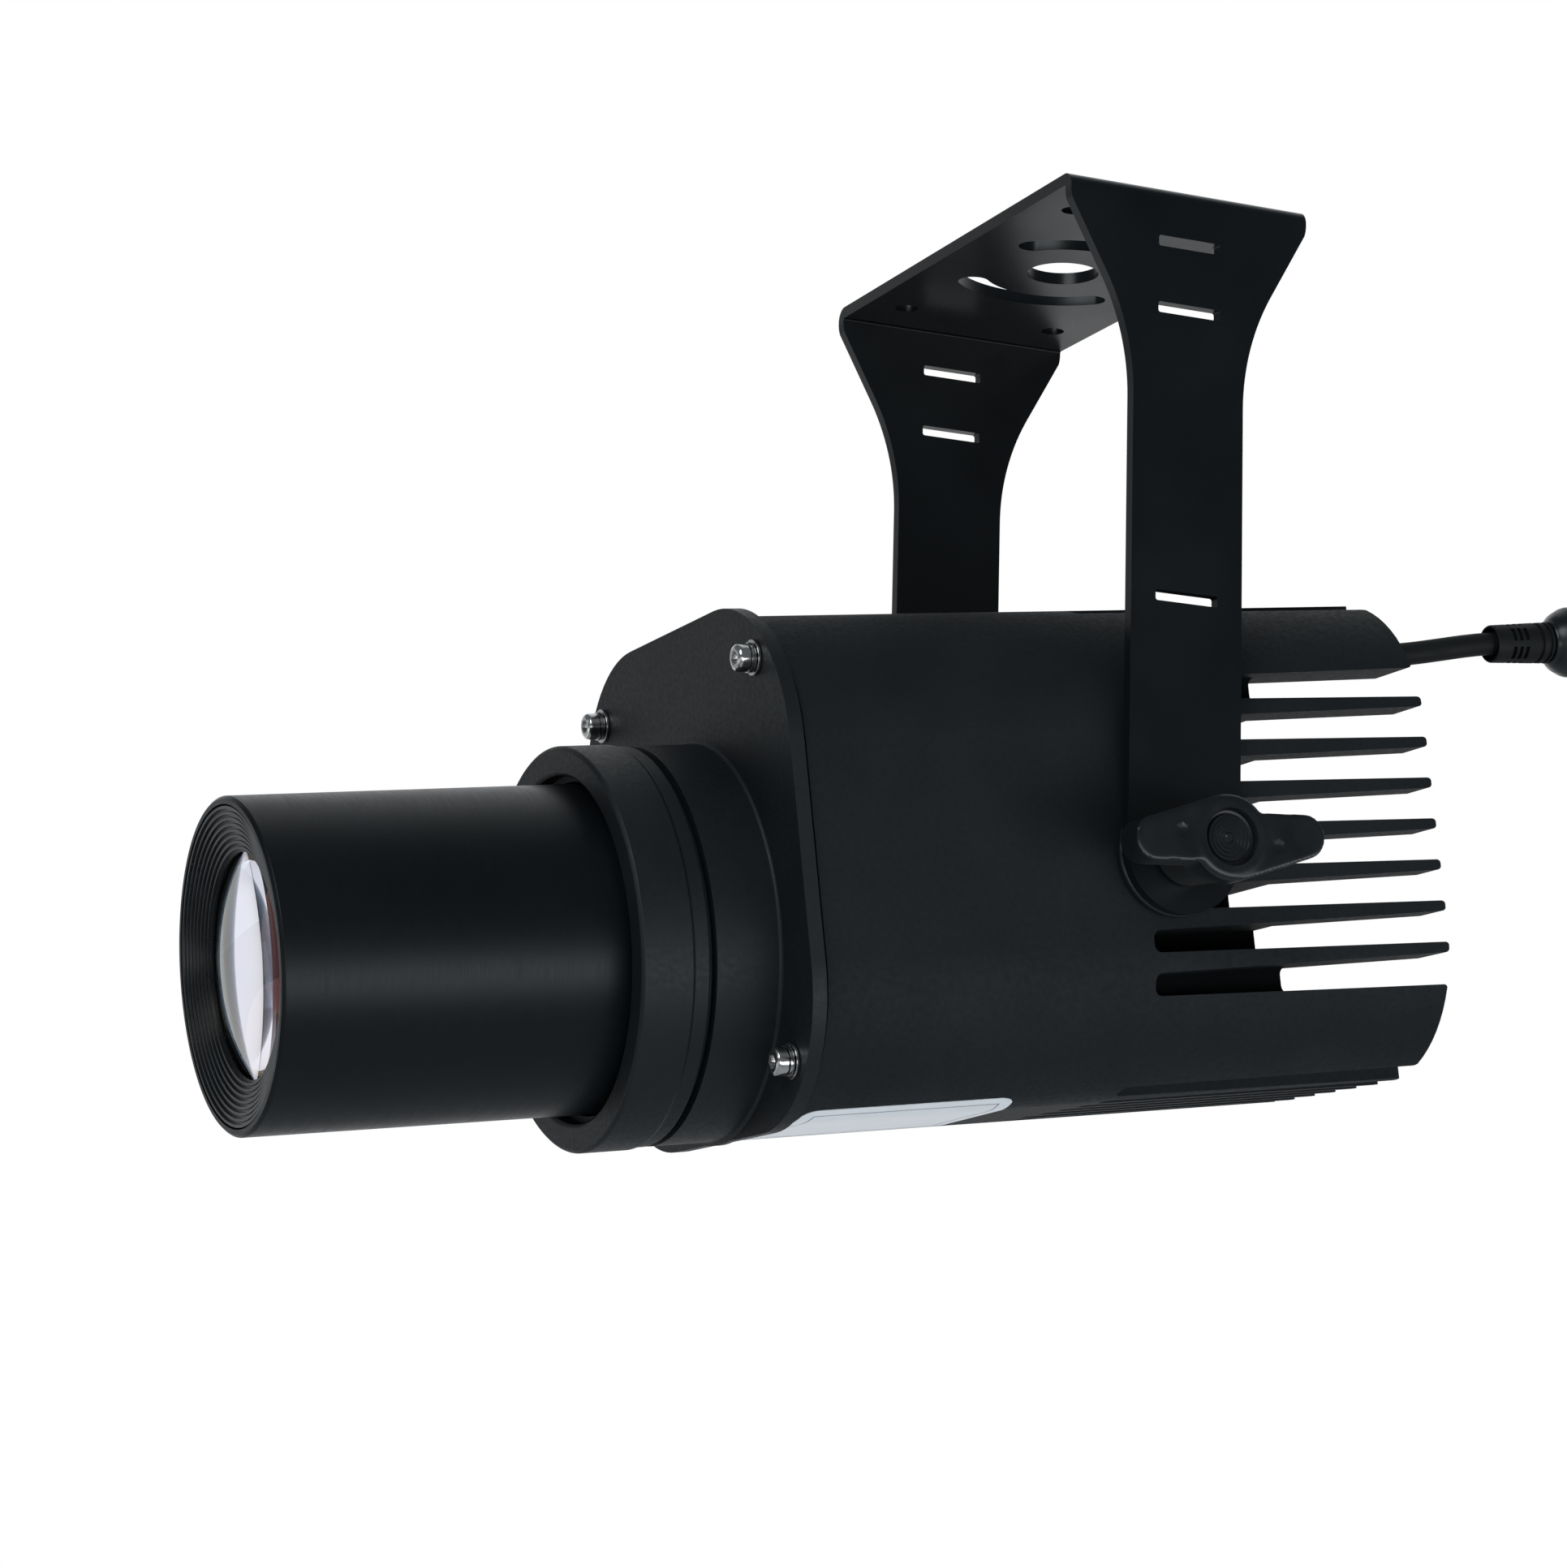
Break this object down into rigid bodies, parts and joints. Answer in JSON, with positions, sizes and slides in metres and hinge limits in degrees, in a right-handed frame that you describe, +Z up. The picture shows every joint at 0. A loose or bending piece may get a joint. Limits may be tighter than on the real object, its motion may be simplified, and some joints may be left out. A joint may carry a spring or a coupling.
{
  "type": "gobo projector",
  "caption": "Gobo projector: finned housing with a focusing lens barrel, tilting in a U-shaped bracket, with a short power cord.",
  "frame": {"origin": "centre of the clamp-bolt hole on the bracket's top face", "axes": "+Z up out of the bracket's top plate, lens towards -X, cord towards +X, pivot along Y"},
  "size_m": [0.2903, 0.148, 0.1979],
  "materials": {
    "powder_black": "fine-textured matte black powder coat on cast aluminium",
    "satin_black": "smooth satin black paint",
    "anodised_black": "satin black anodising",
    "black_plastic": "semi-matte moulded plastic",
    "black_rubber": "matte black rubber",
    "steel": "stainless steel",
    "aluminium": "machined aluminium",
    "coated_glass": "polished, anti-reflection coated",
    "board_white": "white solder mask",
    "emitter_yellow": "phosphor under clear silicone"
  },
  "bodies": {
    "bracket": {"bracket": "satin_black", "friction_washer_near": "black_plastic", "friction_washer_far": "black_plastic"},
    "head": {"housing": "powder_black", "front_gasket": "black_rubber", "front_plate": "powder_black", "plate_screw_1": "steel", "plate_screw_2": "steel", "plate_screw_3": "steel", "plate_screw_4": "steel", "spring_washer_1": "steel", "spring_washer_2": "steel", "spring_washer_3": "steel", "spring_washer_4": "steel", "flat_washer_1": "steel", "flat_washer_2": "steel", "flat_washer_3": "steel", "flat_washer_4": "steel", "led_board": "board_white", "led_emitter": "emitter_yellow", "board_screw_1": "steel", "board_screw_2": "steel", "condenser_tube": "aluminium", "condenser_lens_rear": "coated_glass", "condenser_spacer": "aluminium", "condenser_lens_front": "coated_glass", "condenser_retainer": "aluminium", "gobo_holder": "aluminium", "gobo_disc": "steel", "gobo_spring": "steel", "led_lead": "black_rubber", "cord_grommet": "black_rubber", "power_cord": "black_rubber", "cord_boot": "black_rubber", "connector_insert": "black_plastic"},
    "knob_near": {"wing_knob_near": "black_plastic", "knob_stud_near": "steel"},
    "knob_far": {"wing_knob_far": "black_plastic", "knob_stud_far": "steel"},
    "ring_thread": {"flange_seal": "black_rubber"},
    "ring": {"lens_ring": "powder_black"},
    "focus_thread": {"focus_seal": "black_rubber"},
    "barrel": {"lens_barrel": "anodised_black", "hood_ring": "anodised_black", "lens_cell": "aluminium", "front_lens": "coated_glass", "rear_lens": "coated_glass", "rear_lens_retainer": "anodised_black"},
    "nut": {"connector_nut": "black_plastic"}
  },
  "joints": [
    {"name": "tilt", "type": "hinge", "parent": "bracket", "child": "head", "pos_m": [0, 0, -0.135], "axis": [0, 1, 0], "range_deg": [-82.5, 60]},
    {"name": "knob_near_turn", "type": "hinge", "parent": "head", "child": "knob_near", "pos_m": [0, -0.064, -0.135], "axis": [0, -1, 0], "range_deg": [-20, 360]},
    {"name": "knob_far_turn", "type": "hinge", "parent": "head", "child": "knob_far", "pos_m": [0, 0.064, -0.135], "axis": [0, 1, 0], "range_deg": [-20, 360]},
    {"name": "lens_ring_travel", "type": "slide", "parent": "head", "child": "ring_thread", "axis": [-0.9914, 0, -0.1305], "range_m": [0, 0.0121]},
    {"name": "lens_ring_turn", "type": "hinge", "parent": "ring_thread", "child": "ring", "pos_m": [-0.09817, 0, -0.15549], "axis": [-0.9914, 0, -0.1305], "range_deg": [0, 2160]},
    {"name": "focus_travel", "type": "slide", "parent": "ring", "child": "focus_thread", "axis": [-0.9914, 0, -0.1305], "range_m": [-0.0061, 0.0061]},
    {"name": "focus_turn", "type": "hinge", "parent": "focus_thread", "child": "barrel", "pos_m": [-0.09817, 0, -0.15549], "axis": [-0.9914, 0, -0.1305], "range_deg": [-540, 540]},
    {"name": "nut_turn", "type": "hinge", "parent": "head", "child": "nut", "pos_m": [0.10227, -0.0373, -0.07827], "axis": [0.9914, 0, 0.1305], "continuous": true}
  ],
  "couplings": [
    {"joint": "lens_ring_travel", "follows": "lens_ring_turn", "m_per_rad": 0.00031831},
    {"joint": "focus_travel", "follows": "focus_turn", "m_per_rad": 0.00063662}
  ]
}
